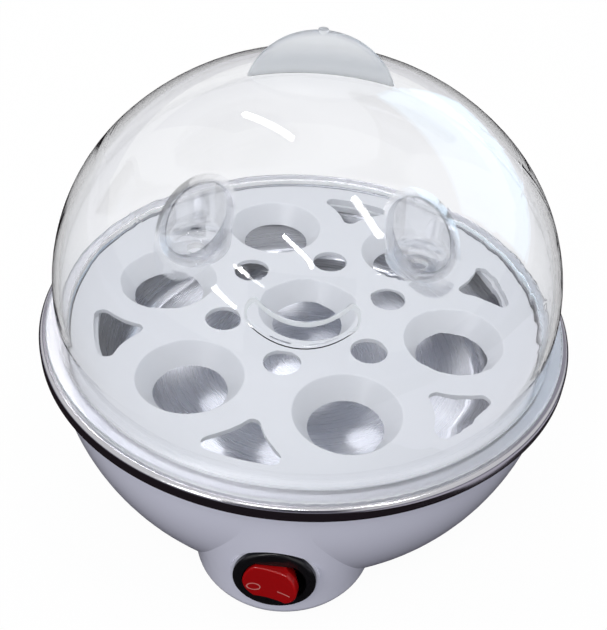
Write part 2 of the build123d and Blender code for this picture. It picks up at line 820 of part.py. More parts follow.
def contact_blade():
    """Contact strip that rocks on its middle knuckle over the common terminal."""
    strip = Box(2 * blade_half_length, blade_thick, blade_width) + Cylinder(blade_knuckle, blade_width)
    return Pos(0, blade_y, switch_height) * (Rot(Z=blade_tilt) * strip)


def switch_terminal(x, start):
    """Flat switch terminal from inside the case to its outer tab."""
    length = barrel_end + terminal_reach - start
    tab = Box(tab_thick, length, terminal_width, align=(Align.CENTER, Align.MIN, Align.CENTER))
    return Pos(x, start, switch_height) * tab


def common_terminal():
    """Terminal that the rocking contact stands on."""
    return switch_terminal(0, blade_y + blade_knuckle + contact_gap)


def load_terminal():
    """Terminal that the rocking contact meets when it is on."""
    swing = blade_half_length * sin(radians(blade_tilt))
    return switch_terminal(-terminal_pitch, blade_y + swing + blade_thick / 2 + contact_gap)


def spade(width):
    """Push-on connector: a flat sleeve round a tab, closed at the lead's end."""
    depth = tab_thick + 2 * pin_gap
    outer = Box(width + 2 * spade_wall, depth + 2 * spade_wall, spade_length, align=base_align)
    inner = Box(width + 2 * pin_gap, depth, spade_length, align=base_align)
    return outer - Pos(0, 0, spade_wall) * inner


def spades():
    """Push-on connectors on the two switch terminals and the two thermostat tabs."""
    pieces = []
    for x in (0, -terminal_pitch):
        end = barrel_end + terminal_reach
        frame = Plane(origin=(x, end + spade_wall, switch_height), x_dir=(0, 0, 1), z_dir=(0, -1, 0))
        pieces.append(frame * spade(terminal_width))
    for side in (-1, 1):
        frame = Plane(origin=(0, side * tab_pitch, tab_low - spade_wall), x_dir=(1, 0, 0), z_dir=(0, 0, 1))
        pieces.append(frame * spade(tab_width))
    return Compound(pieces)


def lead(points):
    """Insulated wire along straight runs joined by tangent arcs."""
    runs = [(Vector(*b) - Vector(*a)).length for a, b in zip(points, points[1:])]
    bends = []
    for index in range(1, len(points) - 1):
        before = Vector(*points[index]) - Vector(*points[index - 1])
        after = Vector(*points[index + 1]) - Vector(*points[index])
        turn = radians(before.get_angle(after))
        bends.append(bend_share * min(runs[index - 1], runs[index]) / tan(turn / 2))
    path = FilletPolyline(*points, radius=bends)
    start = Plane(origin=path @ 0, z_dir=path % 0)
    return sweep(start * Circle(lead_radius), path=path)


def live_lead():
    """From the block's live pole to the switch's common terminal."""
    x = pole_x(2)
    end = barrel_end + terminal_reach + spade_wall
    start_y = block_front + block_depth / 4
    return lead([
        (x, start_y, bore_height),
        (x, end + loom_offset, bore_height),
        (0, end + drop_run, bore_height),
        (0, end + drop_run, switch_height),
        (0, end, switch_height),
    ])


def switched_lead():
    """From the switch's load terminal to the thermostat's front tab."""
    end = barrel_end + terminal_reach + spade_wall
    low = tab_low - spade_wall
    return lead([
        (-terminal_pitch, end, switch_height),
        (-terminal_pitch, end + drop_run, switch_height),
        (-terminal_pitch, end + drop_run, lead_floor),
        (0, -tab_pitch, lead_floor),
        (0, -tab_pitch, low),
    ])


def fuse_lead():
    """From the thermostat's rear tab up to the cut-out's right end."""
    low = tab_low - spade_wall
    right = sleeve_length / 2
    return lead([
        (0, tab_pitch, low),
        (0, tab_pitch, lead_floor),
        (loom_offset / 2, tab_pitch, lead_floor),
        (loom_offset, -fuse_setback / 2, (lead_floor + fuse_height) / 2),
        (right + lead_run, -fuse_setback, fuse_height),
        (fuse_length / 2, -fuse_setback, fuse_height),
    ])


def heater_lead():
    """From the cut-out's left end round to the element's left pin."""
    left = -sleeve_length / 2
    return lead([
        (-fuse_length / 2, -fuse_setback, fuse_height),
        (left - lead_run, -fuse_setback, fuse_height),
        (-loom_offset, 0, (lead_floor + fuse_height) / 2),
        (-loom_offset, pin_y - lead_run, lead_floor),
        (-pin_x, pin_y, lead_floor),
        (-pin_x, pin_y, pin_low),
    ])


def neutral_lead():
    """From the element's right pin down to the block's neutral pole."""
    return lead([
        (pin_x, pin_y, pin_low),
        (pin_x, pin_y, bore_height),
        (pin_x, block_front + block_depth / 4, bore_height),
    ])


def earth_lead():
    """From the earth tag to the block's earth pole."""
    x = pole_x(0)
    tag_low = dish_under - cap_height - strap_thick - tag_thick
    return lead([
        (stud_pitch, tag_tongue - lead_radius, tag_low),
        (stud_pitch, tag_tongue - lead_radius, tag_low - lead_run),
        (x, tag_tongue, bore_height),
        (x, block_front + block_depth / 4, bore_height),
    ])


pieces = {
    "lid": lid,
    "egg_tray": egg_tray,
    "heating_dish": heating_dish,
    "dish_seal": dish_seal,
    "body_shell": body_shell,
    "base_cover": base_cover,
    "tie_screws": tie_screws,
    "dish_bosses": dish_bosses,
    "heating_element": heating_element,
    "element_pins": element_pins,
    "element_beads": element_beads,
    "pin_crimps": pin_crimps,
    "thermostat_cap": thermostat_cap,
    "thermostat_body": thermostat_body,
    "thermostat_tabs": thermostat_tabs,
    "thermostat_strap": thermostat_strap,
    "strap_studs": strap_studs,
    "strap_nuts": strap_nuts,
    "earth_tag": earth_tag,
    "thermal_fuse": thermal_fuse,
    "fuse_sleeve": fuse_sleeve,
    "fuse_clip": fuse_clip,
    "terminal_block": terminal_block,
    "terminal_screws": terminal_screws,
    "block_screw": block_screw,
    "cord_gland": cord_gland,
    "switch_housing": switch_housing,
    "switch_rocker": switch_rocker,
    "rocker_plunger": rocker_plunger,
    "rocker_spring": rocker_spring,
    "contact_blade": contact_blade,
    "common_terminal": common_terminal,
    "load_terminal": load_terminal,
    "spade_connectors": spades,
    "live_lead": live_lead,
    "switched_lead": switched_lead,
    "fuse_lead": fuse_lead,
    "heater_lead": heater_lead,
    "neutral_lead": neutral_lead,
    "earth_lead": earth_lead,
}

os.makedirs("parts", exist_ok=True)
for name, make in pieces.items():
    export_step(make(), f"parts/{name}.step")
for number, angle in enumerate(foot_angles, start=1):
    export_step(foot(angle), f"parts/foot_{number}.step")
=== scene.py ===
import json
import math

import bpy
from bpy.props import FloatProperty, FloatVectorProperty, IntProperty, PointerProperty
from mathutils import Matrix, Vector


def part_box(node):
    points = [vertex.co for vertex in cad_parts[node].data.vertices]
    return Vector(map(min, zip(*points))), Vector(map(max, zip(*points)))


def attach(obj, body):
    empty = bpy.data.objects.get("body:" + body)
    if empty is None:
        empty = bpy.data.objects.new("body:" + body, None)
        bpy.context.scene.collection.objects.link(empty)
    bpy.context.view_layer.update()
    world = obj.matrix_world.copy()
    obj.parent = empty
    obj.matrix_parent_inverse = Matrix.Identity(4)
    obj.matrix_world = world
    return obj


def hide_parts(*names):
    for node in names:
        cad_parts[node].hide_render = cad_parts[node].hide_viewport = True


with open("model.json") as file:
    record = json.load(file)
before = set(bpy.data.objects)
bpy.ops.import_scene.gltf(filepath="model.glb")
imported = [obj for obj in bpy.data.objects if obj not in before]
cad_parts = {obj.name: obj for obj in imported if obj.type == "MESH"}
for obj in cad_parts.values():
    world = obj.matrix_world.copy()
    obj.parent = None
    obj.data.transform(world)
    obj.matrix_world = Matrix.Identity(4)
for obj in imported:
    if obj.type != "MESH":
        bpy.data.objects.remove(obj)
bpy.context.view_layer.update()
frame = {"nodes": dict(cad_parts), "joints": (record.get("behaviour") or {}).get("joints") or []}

bl_info = {
    "name": "Egg Cooker Looks",
    "version": (1, 0, 0),
    "blender": (4, 5, 0),
    "location": "View3D > Sidebar > Egg Cooker",
    "description": "Finishes, small pieces and a plain studio for a packed egg cooker",
    "category": "Object",
}

# Sockets of a Mix node that is set to colours
MIX_COLOURS = (6, 7)
MIX_ANSWER = 2

# Finishes: the clear plastic's index, widths over which a finish gives way to the next, and how far
# the steel's roughness wanders
ACRYLIC_IOR = 1.49
FIN_EDGE = 0.00006
FLANGE_EDGE = 0.0006
DIMPLE_EDGE = 0.0004
RIM_EDGE = 0.0006
# Width over which the painted shade on the dish's sloped wall fades in
SLOPE_SHADE_EDGE = 0.0025
STEEL_SPREAD = 0.08
FROM_ABOVE = (1.0, 1.0, 0.0)

# The dish's section in metres: a ring round the pole, the flat floor, the top of the sloped wall, the tray's
# ledge, how far the rim's top stays under the CAD box, and the height of the rim's lower edge
HUB_RADIUS = 0.008
FLOOR_RADIUS = 0.0565
WALL_RADIUS = 0.0685
LEDGE_RADIUS = 0.07265
LEDGE_HEIGHT = 0.0552
RIM_CLEARANCE = 0.00006
RIM_FOOT = 0.053

# Steps of the turned sheet's rounds, the angle under which its faces are smooth, and the gap that is merged
ROUND_STEPS = 8
SMOOTH_ANGLE = math.radians(40)
MERGE_GAP = 1e-6

# The rocker's marks: where they start in front of the pivot, their lift off the face, and the paint's thickness
MARK_START = 0.012
MARK_LIFT = 0.00002
PAINT_FILM = 0.00005


def colour(name, description, default):
    """A colour that a user may change."""
    return FloatVectorProperty(name=name, description=description, subtype="COLOR", size=3,
                               min=0.0, max=1.0, default=default)


def share(name, description, default):
    """A value from 0 to 1 that a user may change."""
    return FloatProperty(name=name, description=description, subtype="FACTOR", min=0.0, max=1.0,
                         default=default)


def length(name, description, default):
    """A size in metres that a user may change."""
    return FloatProperty(name=name, description=description, unit="LENGTH", default=default, precision=5)


class LidFinish(bpy.types.PropertyGroup):
    """The clear lid."""
    tint: colour("Tint", "Colour of the clear plastic", (0.985, 0.988, 0.995))
    depth_tint: colour("Depth Tint", "Colour that a long way through the plastic takes", (0.58, 0.60, 0.68))
    depth: FloatProperty(name="Depth", description="How fast the plastic darkens along a ray", min=0.0,
                         default=20.0)
    gloss: share("Roughness", "Roughness of the polished dome", 0.015)
    wave: share("Wave", "How uneven the moulded surface is", 0.05)
    shade: colour("Shade", "Colour of the light that the lid lets through", (0.93, 0.935, 0.95))
    fin_tint: colour("Fin Tint", "Colour of the frosted grip fin", (0.95, 0.98, 1.0))
    fin_frost: share("Fin Frost", "Roughness of the grip fin", 0.42)
    dome_centre: length("Dome Centre", "Height of the middle of the dome's crown", 0.0547)
    dome_reach: length("Dome Reach", "Distance from that middle past which only the fin lies", 0.08012)
    flange_frost: share("Flange Frost", "Roughness of the resting flange", 0.40)
    flange_top: length("Flange Top", "Height up to which the lid is frosted by its flange", 0.0588)
    dimple_frost: share("Dimple Frost", "Roughness inside the two steam dimples", 0.08)
    dimple_reach: length("Dimple Reach", "Radius that a dimple takes up", 0.0098)
    dimple_veil: share("Dimple Veil", "How far the dimples are thinned to a veil", 0.50)
    fin_veil: share("Fin Veil", "How far the fin above its root is thinned to a veil", 0.25)
    root_height: length("Root Height", "Height of the fin's cloudy root", 0.0060)
    fin_milk: share("Fin Milk", "How far the root of the grip fin is clouded", 0.85)
    fin_tone: colour("Fin Tone", "Colour of the clouded root", (0.96, 0.99, 1.0))
    dimple_right: FloatVectorProperty(name="Right Dimple", description="Place of the right dimple's axis",
                                      subtype="TRANSLATION", unit="LENGTH", default=(0.02881, -0.04208, 0.0))
    dimple_left: FloatVectorProperty(name="Left Dimple", description="Place of the left dimple's axis",
                                     subtype="TRANSLATION", unit="LENGTH", default=(-0.02473, -0.04461, 0.0))


class TrayFinish(bpy.types.PropertyGroup):
    """The milky egg tray."""
    plastic: colour("Plastic", "Colour of the tray", (0.75, 0.765, 0.79))
    roughness: share("Roughness", "Roughness of the tray", 0.32)
    glow: share("Glow", "How much light wanders inside the plastic", 0.10)
    glow_depth: length("Glow Depth", "How far light wanders inside the plastic", 0.004)


class SteelFinish(bpy.types.PropertyGroup):
    """The pressed dish and its rim."""
    steel: colour("Steel", "Colour of the dish", (0.86, 0.875, 0.945))
    # The rim's steel is darker than the floor's: a painted dark reflection of the surroundings that the rim
    # mirrors
    rim: colour("Rim", "Colour of the polished rim", (0.62, 0.615, 0.65))
    # Painted shade: the sloped wall's darker colour stands for the shade that falls down into the dish, from the
    # radius below outwards
    wall: colour("Wall", "Colour of the dish's sloped wall", (0.36, 0.37, 0.41))
    slope_shade_start: length("Wall Start", "Radius where the sloped wall begins", 0.0555)
    floor_roughness: share("Floor Roughness", "Roughness of the brushed floor", 0.28)
    rim_roughness: share("Rim Roughness", "Roughness of the polished rim", 0.14)
    brushing: share("Brushing", "How far the gloss is drawn out along the rings", 0.72)
    rim_start: length("Rim Start", "Radius where the polished rim begins", 0.0732)
    sheet: length("Sheet", "Thickness of the pressed sheet", 0.0007)
    rim_round: length("Rim Round", "Radius of the rim's outer corner", 0.0011)
    bend: length("Bend", "Radius of the bend round the floor", 0.006)
    corner: length("Corner", "Radius of the ledge's corners", 0.0009)
    segments: IntProperty(name="Segments", description="Steps of the turned dish", default=256, min=32)


class BodyFinish(bpy.types.PropertyGroup):
    """The white shell and its floor."""
    plastic: colour("Plastic", "Colour of the shell", (0.78, 0.785, 0.90))
    roughness: share("Roughness", "Roughness of the shell", 0.16)
    floor_roughness: share("Floor Roughness", "Roughness of the base cover", 0.38)


class SwitchFinish(bpy.types.PropertyGroup):
    """The rocker switch and its marks."""
    case: colour("Case", "Colour of the switch case", (0.006, 0.006, 0.007))
    rocker: colour("Rocker", "Colour of the rocker", (0.38, 0.003, 0.004))
    marks: colour("Marks", "Colour of the rocker's marks", (0.62, 0.22, 0.20))
    roughness: share("Roughness", "Roughness of the rocker", 0.16)
    ring_radius: length("Ring Radius", "Middle radius of the ring mark", 0.00135)
    stroke: length("Stroke", "Width of the marks' lines", 0.00030)
    bar_length: length("Bar Length", "Length of the bar mark", 0.0027)
    ring_place: length("Ring Place", "Sideways place of the ring mark", -0.0033)
    bar_place: length("Bar Place", "Sideways place of the bar mark", 0.0029)
    mark_drop: length("Mark Drop", "How far the marks sit below the middle", 0.0019)
    tilt: FloatProperty(name="Tilt", description="Rest tilt of the rocker", subtype="ANGLE",
                        default=math.radians(-11.0))


class FittingsFinish(bpy.types.PropertyGroup):
    """The pieces inside the body and under it."""
    rubber: colour("Rubber", "Colour of the feet and the gland", (0.030, 0.030, 0.032))
    seal: colour("Seal", "Colour of the dish seal", (0.58, 0.56, 0.53))
    plating: colour("Plating", "Colour of the plated screws and strips", (0.66, 0.66, 0.66))
    sheath: colour("Sheath", "Colour of the heating element", (0.30, 0.285, 0.27))
    brass: colour("Brass", "Colour of the tabs and terminals", (0.72, 0.63, 0.42))
    ceramic: colour("Ceramic", "Colour of the fired insulators", (0.80, 0.76, 0.68))
    block: colour("Block", "Colour of the terminal block", (0.82, 0.80, 0.75))
    brown: colour("Brown Wire", "Insulation of the live wires", (0.16, 0.065, 0.03))
    blue: colour("Blue Wire", "Insulation of the neutral wire", (0.02, 0.07, 0.34))
    green: colour("Green Wire", "Insulation of the earth wire", (0.05, 0.26, 0.03))
    yellow: colour("Yellow Stripe", "Stripe of the earth wire", (0.78, 0.62, 0.03))


class StageSettings(bpy.types.PropertyGroup):
    """Floor, light and camera."""
    floor: colour("Floor", "Colour of the floor", (0.86, 0.86, 0.865))
    floor_white: share("Floor White", "How far the floor reads as plain white", 0.96)
    floor_bounce: colour("Floor Bounce", "Colour of the floor for the light that it throws back",
                         (0.22, 0.22, 0.25))
    floor_size: length("Floor Size", "Half width of the floor", 6.0)
    flag_size: length("Flag Size", "Radius of the dark flag that gloss sees on the floor", 2.0)
    flag: colour("Flag", "Colour of the dark flag", (0.016, 0.012, 0.015))
    grey_flag: colour("Grey Flag", "Colour of the small flag on the right", (0.52, 0.50, 0.57))
    wall: colour("Wall", "Colour of the low wall that gloss sees all round", (0.26, 0.25, 0.30))
    wall_height: length("Wall Height", "Height of that wall", 0.45)
    back_card: colour("Back Card", "Colour of the tall card behind that steel mirrors", (0.36, 0.35, 0.40))
    front_card: colour("Front Card", "Colour of the card round the camera that steel mirrors", (0.07, 0.07, 0.09))
    lens: FloatProperty(name="Lens", description="Focal length of the camera", unit="CAMERA", default=55.912)
    shift: FloatVectorProperty(name="Shift", description="Shift of the camera", size=2,
                               default=(-0.04894, 0.01614))
    ambient: FloatProperty(name="Ambient", description="Strength of the even light", default=0.80, min=0.0)
    mirrored: share("Mirrored", "Brightness of the white surroundings in reflections", 0.80)
    tube: FloatProperty(name="Tubes", description="Power of each narrow lamp", unit="POWER", default=2.3)
    fan: FloatProperty(name="Fan", description="Power of the lamp that the brushed steel draws out", unit="POWER",
                       default=0.9)
    window: FloatProperty(name="Window", description="Power of the cool light on the right", unit="POWER",
                          default=5.6)


class EggCookerLooks(bpy.types.PropertyGroup):
    """All settings of the egg cooker."""
    lid: PointerProperty(type=LidFinish)
    tray: PointerProperty(type=TrayFinish)
    steel: PointerProperty(type=SteelFinish)
    body: PointerProperty(type=BodyFinish)
    switch: PointerProperty(type=SwitchFinish)
    fittings: PointerProperty(type=FittingsFinish)
    stage: PointerProperty(type=StageSettings)


# Shader helpers

def feed(socket, term):
    """Joins a socket to another one, or gives it a plain value."""
    if isinstance(term, bpy.types.NodeSocket):
        socket.id_data.links.new(term, socket)
    else:
        socket.default_value = term


def add(nodes, kind, place, *terms, **values):
    """A node at a place. Values feed inputs or set properties by name, terms feed inputs in order."""
    node = nodes.new(kind)
    node.location = place
    for key, value in values.items():
        label = key.replace("_", " ").title()
        if label in node.inputs:
            feed(node.inputs[label], value)
        else:
            setattr(node, key, value)
    for socket, term in zip(node.inputs, terms):
        feed(socket, term)
    return node


def preset(shader, values):
    """Sets plain values on a shader's own sockets."""
    for name, value in values.items():
        shader.inputs[name].default_value = value


def rgba(value):
    """A colour with full alpha."""
    return (*value, 1.0)


def shaded(value, factor):
    """A colour made lighter or darker."""
    return tuple(min(1.0, part * factor) for part in value)


def reckon(nodes, operation, place, *terms, **values):
    """The answer of a sum on sockets and plain numbers."""
    return add(nodes, "ShaderNodeMath", place, *terms, operation=operation, **values).outputs["Value"]


def greatest(nodes, place, first, *others):
    """The greatest of several values."""
    for step, other in enumerate(others):
        first = reckon(nodes, "MAXIMUM", (place[0] + 150 * step, place[1]), first, other)
    return first


def ramp(nodes, source, start, end, place):
    """A mask that runs from 0 to 1 as a source goes from start to end."""
    return add(nodes, "ShaderNodeMapRange", place, value=source, from_min=start, from_max=end).outputs["Result"]


def blend_value(nodes, mask, low, high, place):
    """A value that runs from low to high with a mask."""
    return add(nodes, "ShaderNodeMapRange", place, value=mask, to_min=low, to_max=high).outputs["Result"]


def blend_colour(nodes, mask, low, high, place):
    """A colour that runs from low to high with a mask. Each end is a plain colour or a socket."""
    node = add(nodes, "ShaderNodeMix", place, mask, data_type="RGBA")
    for socket, end in zip(MIX_COLOURS, (low, high)):
        feed(node.inputs[socket], end if isinstance(end, bpy.types.NodeSocket) else rgba(end))
    return node.outputs[MIX_ANSWER]


def blend_shader(nodes, mask, low, high, place):
    """A shader that runs from low to high with a mask."""
    return add(nodes, "ShaderNodeMixShader", place, mask, low, high).outputs["Shader"]


def object_place(nodes, place):
    """Where a point lies on its piece."""
    return add(nodes, "ShaderNodeTexCoord", place).outputs["Object"]


def fresh_group(name, inputs, outputs):
    """An empty shader group with named sockets, its nodes, its given values and its end."""
    group = bpy.data.node_groups.new(name, "ShaderNodeTree")
    for label, default in inputs:
        socket = group.interface.new_socket(label, in_out="INPUT", socket_type="NodeSocketFloat")
        socket.default_value = default
    for label in outputs:
        kind = "NodeSocketVector" if label == "Normal" else "NodeSocketFloat"
        group.interface.new_socket(label, in_out="OUTPUT", socket_type=kind)
    given = add(group.nodes, "NodeGroupInput", (-900, 0)).outputs
    return group, group.nodes, given, add(group.nodes, "NodeGroupOutput", (700, 0))


def moulded_skin_group():
    """Fine uneven skin of moulded plastic or rubber: a normal and a slow mottle."""
    group, nodes, given, end = fresh_group(
        "moulded_skin", (("Scale", 900.0), ("Depth", 0.05)), ("Normal", "Mottle"))
    place = object_place(nodes, (-900, -300))
    fine = add(nodes, "ShaderNodeTexNoise", (-500, 100), vector=place, scale=given["Scale"], detail=3.0)
    slow = add(nodes, "ShaderNodeTexNoise", (-500, -300), vector=place, scale=34.0, detail=4.0)
    bump = add(nodes, "ShaderNodeBump", (200, 100), strength=given["Depth"], distance=0.0004,
               height=fine.outputs["Fac"])
    feed(end.inputs["Normal"], bump.outputs["Normal"])
    feed(end.inputs["Mottle"], slow.outputs["Fac"])
    return group


def turned_rings_group():
    """Rings round the main axis, as spinning and brushing leave them: a normal, the rings and the radius."""
    group, nodes, given, end = fresh_group(
        "turned_rings", (("Ring Scale", 2600.0), ("Depth", 0.1)), ("Normal", "Rings", "Radius"))
    place = object_place(nodes, (-1300, 0))
    flat = add(nodes, "ShaderNodeVectorMath", (-1100, 0), place, FROM_ABOVE, operation="MULTIPLY")
    radius = add(nodes, "ShaderNodeVectorMath", (-900, 100), flat.outputs["Vector"], operation="LENGTH")
    axes = add(nodes, "ShaderNodeSeparateXYZ", (-900, -200), place)
    turn = reckon(nodes, "ARCTAN2", (-700, -200), axes.outputs["Y"], axes.outputs["X"])
    rings = reckon(nodes, "MULTIPLY", (-500, 100), radius.outputs["Value"], given["Ring Scale"])
    spread = add(nodes, "ShaderNodeCombineXYZ", (-300, 0), rings, turn)
    noise = add(nodes, "ShaderNodeTexNoise", (-100, 0), vector=spread.outputs["Vector"], scale=1.0, detail=5.0,
                roughness=0.62)
    bump = add(nodes, "ShaderNodeBump", (300, 150), strength=given["Depth"], distance=0.0002,
               height=noise.outputs["Fac"])
    feed(end.inputs["Normal"], bump.outputs["Normal"])
    feed(end.inputs["Rings"], noise.outputs["Fac"])
    feed(end.inputs["Radius"], radius.outputs["Value"])
    return group


def handling_marks_group():
    """Patchy film that hands and cloths leave on gloss: a mask."""
    group, nodes, given, end = fresh_group("handling_marks", (("Scale", 40.0), ("Amount", 0.5)), ("Mask",))
    noise = add(nodes, "ShaderNodeTexNoise", (-600, 0), vector=object_place(nodes, (-900, -200)),
                scale=given["Scale"], detail=7.0, distortion=1.4)
    edge = ramp(nodes, noise.outputs["Fac"], 0.48, 0.74, (-300, 0))
    feed(end.inputs["Mask"], reckon(nodes, "MULTIPLY", (0, 0), edge, given["Amount"]))
    return group


GROUP_MAKERS = {
    "moulded_skin": moulded_skin_group,
    "turned_rings": turned_rings_group,
    "handling_marks": handling_marks_group,
}


def use_group(nodes, name, place, **values):
    """The outputs of a shared group that is placed in a material with its own values."""
    tree = bpy.data.node_groups.get(name) or GROUP_MAKERS[name]()
    return add(nodes, "ShaderNodeGroup", place, node_tree=tree, **values).outputs


def fresh_material(name):
    """A new material with its shader and its nodes."""
    material = bpy.data.materials.new(name)
    material.use_nodes = True
    nodes = material.node_tree.nodes
    return material, nodes["Principled BSDF"], nodes


def dress(shader, tone, gloss, normal):
    """Gives a shader its colour, its roughness and its normal."""
    feed(shader.inputs["Base Color"], tone)
    feed(shader.inputs["Roughness"], gloss)
    feed(shader.inputs["Normal"], normal)


def paint(material, *names):
    """Puts a material on CAD nodes or on new pieces."""
    for name in names:
        thing = frame["nodes"].get(name) or bpy.data.objects[name]
        thing.data.materials.clear()
        thing.data.materials.append(material)


def plain_moulding(name, base, roughness, scale=900.0, depth=0.05, spread=0.10):
    """Moulded plastic or rubber: fine skin, slow mottle in colour and gloss."""
    material, shader, nodes = fresh_material(name)
    skin = use_group(nodes, "moulded_skin", (-700, 0), scale=scale, depth=depth)
    tone = blend_colour(nodes, skin["Mottle"], shaded(base, 1 - spread / 2), shaded(base, 1 + spread / 2),
                        (-400, 200))
    gloss = blend_value(nodes, skin["Mottle"], roughness * 0.8, min(1.0, roughness * 1.2), (-400, -50))
    dress(shader, tone, gloss, skin["Normal"])
    return material


def wiped_moulding(name, base, spread, roughness, film_spread, skin_values, film_values):
    """Smooth plastic in view: a faint mottle, and a film of handling that dulls it in patches."""
    material, shader, nodes = fresh_material(name)
    skin = use_group(nodes, "moulded_skin", (-700, 0), **skin_values)
    film = use_group(nodes, "handling_marks", (-700, -250), **film_values)
    tone = blend_colour(nodes, skin["Mottle"], shaded(base, 1 - spread), shaded(base, 1 + spread), (-400, 200))
    gloss = blend_value(nodes, film["Mask"], roughness, roughness + film_spread, (-400, -50))
    dress(shader, tone, gloss, skin["Normal"])
    return material, shader


def drawn_metal(name, base, roughness, scale=1400.0, depth=0.04):
    """Plated or drawn metal: fine grain and a patchy film."""
    material, shader, nodes = fresh_material(name)
    skin = use_group(nodes, "moulded_skin", (-700, 0), scale=scale, depth=depth)
    film = use_group(nodes, "handling_marks", (-700, -250), scale=160.0, amount=0.7)
    tone = blend_colour(nodes, film["Mask"], base, shaded(base, 0.78), (-400, 200))
    gloss = blend_value(nodes, film["Mask"], roughness, min(1.0, roughness + 0.2), (-400, -50))
    preset(shader, {"Metallic": 1.0})
    dress(shader, tone, gloss, skin["Normal"])
    return material


# Operators, one for each piece or group of like pieces

class EGGCOOKER_OT_lid(bpy.types.Operator):
    """Clear polished dome with a frosted flange, thin dimples and a clouded grip fin"""
    bl_idname = "egg_cooker.lid"
    bl_label = "Finish Lid"

    def execute(self, context):
        looks = context.scene.egg_cooker.lid
        material, shader, nodes = fresh_material("clear_lid")
        place = object_place(nodes, (-1300, 0))
        fin, upper = self.fin(nodes, looks, place)
        height = add(nodes, "ShaderNodeSeparateXYZ", (-1100, -250), place).outputs["Z"]
        flange = ramp(nodes, height, looks.flange_top, looks.flange_top - FLANGE_EDGE, (-900, -250))
        dimple = self.dimples(nodes, looks, place)
        frost = greatest(
            nodes, (-250, -150),
            blend_value(nodes, fin, looks.gloss, looks.fin_frost, (-500, 0)),
            blend_value(nodes, flange, looks.gloss, looks.flange_frost, (-500, -250)),
            blend_value(nodes, dimple, looks.gloss, looks.dimple_frost, (-300, -550)))
        wave = add(nodes, "ShaderNodeTexNoise", (-700, -400), vector=place, scale=26.0, detail=1.0)
        bump = add(nodes, "ShaderNodeBump", (-300, -400), strength=looks.wave, distance=0.0012,
                   height=wave.outputs["Fac"])
        tone = blend_colour(nodes, fin, looks.tint, looks.fin_tint, (-450, 150))
        dress(shader, tone, frost, bump.outputs["Normal"])
        preset(shader, {"Transmission Weight": 1.0, "IOR": ACRYLIC_IOR})
        cloudy = self.clouded(nodes, looks, shader.outputs["BSDF"], fin, upper)
        thin = self.thinned(nodes, looks, dimple, upper)
        clear = add(nodes, "ShaderNodeBsdfTransparent", (200, 250), color=rgba(looks.shade))
        depth = add(nodes, "ShaderNodeVolumeAbsorption", (450, -200), color=rgba(looks.depth_tint),
                    density=looks.depth)
        out = nodes["Material Output"]
        out.location = (700, 0)
        feed(out.inputs["Surface"], blend_shader(nodes, thin, cloudy, clear.outputs["BSDF"], (450, 200)))
        feed(out.inputs["Volume"], depth.outputs["Volume"])
        paint(material, "lid")
        return {"FINISHED"}

    def fin(self, nodes, looks, place):
        """Masks of the grip fin and of its part above the root, by the distance from the dome's middle."""
        middle = (0.0, 0.0, looks.dome_centre)
        centred = add(nodes, "ShaderNodeVectorMath", (-1100, 0), place, middle, operation="SUBTRACT")
        reach = add(nodes, "ShaderNodeVectorMath", (-900, 0), centred.outputs["Vector"], operation="LENGTH")
        start, root = looks.dome_reach, looks.root_height
        return (ramp(nodes, reach.outputs["Value"], start, start + FIN_EDGE, (-700, 0)),
                ramp(nodes, reach.outputs["Value"], start + root / 3, start + root, (-200, 750)))

    def dimples(self, nodes, looks, place):
        """A mask of the two dimples, by the distance from their axes."""
        flat = add(nodes, "ShaderNodeVectorMath", (-1100, -500), place, FROM_ABOVE, operation="MULTIPLY")
        gaps = [add(nodes, "ShaderNodeVectorMath", (-900, -500 - 150 * number), flat.outputs["Vector"], axis,
                    operation="DISTANCE").outputs["Value"]
                for number, axis in enumerate((looks.dimple_right, looks.dimple_left))]
        nearest = reckon(nodes, "MINIMUM", (-700, -550), *gaps)
        return ramp(nodes, nearest, looks.dimple_reach, looks.dimple_reach - DIMPLE_EDGE, (-500, -550))

    def clouded(self, nodes, looks, clear, fin, upper):
        """The clear plastic with the fin's root clouded, since light caught in a clear root goes dark."""
        root = reckon(nodes, "SUBTRACT", (-50, -250), fin, upper, use_clamp=True)
        milk = reckon(nodes, "MULTIPLY", (100, -250), root, looks.fin_milk)
        front = add(nodes, "ShaderNodeBsdfDiffuse", (100, -400), color=rgba(looks.fin_tone))
        back = add(nodes, "ShaderNodeBsdfTranslucent", (100, -550), color=rgba(looks.fin_tone))
        both = blend_shader(nodes, 0.5, front.outputs["BSDF"], back.outputs["BSDF"], (300, -450))
        return blend_shader(nodes, milk, clear, both, (300, 0))

    def thinned(self, nodes, looks, dimple, upper):
        """A mask of what is let straight through: soft light everywhere, and a part of the dimples and the fin."""
        rays = add(nodes, "ShaderNodeLightPath", (0, 500)).outputs
        veil = reckon(nodes, "MULTIPLY", (200, 600), dimple, looks.dimple_veil)
        veils = reckon(nodes, "MULTIPLY_ADD", (350, 650), upper, looks.fin_veil, veil)
        return greatest(nodes, (200, 450), rays["Is Shadow Ray"], rays["Is Diffuse Ray"], veils)


class EGGCOOKER_OT_tray(bpy.types.Operator):
    """Milky satin plastic of the egg tray"""
    bl_idname = "egg_cooker.tray"
    bl_label = "Finish Egg Tray"

    def execute(self, context):
        looks = context.scene.egg_cooker.tray
        material, shader = wiped_moulding("milky_tray", looks.plastic, 0.015, looks.roughness, 0.10,
                                          {"scale": 700.0, "depth": 0.03}, {"scale": 55.0, "amount": 0.6})
        preset(shader, {"Subsurface Weight": looks.glow, "Subsurface Radius": (0.9, 0.95, 1.0),
                        "Subsurface Scale": looks.glow_depth, "IOR": ACRYLIC_IOR})
        paint(material, "egg_tray")
        return {"FINISHED"}


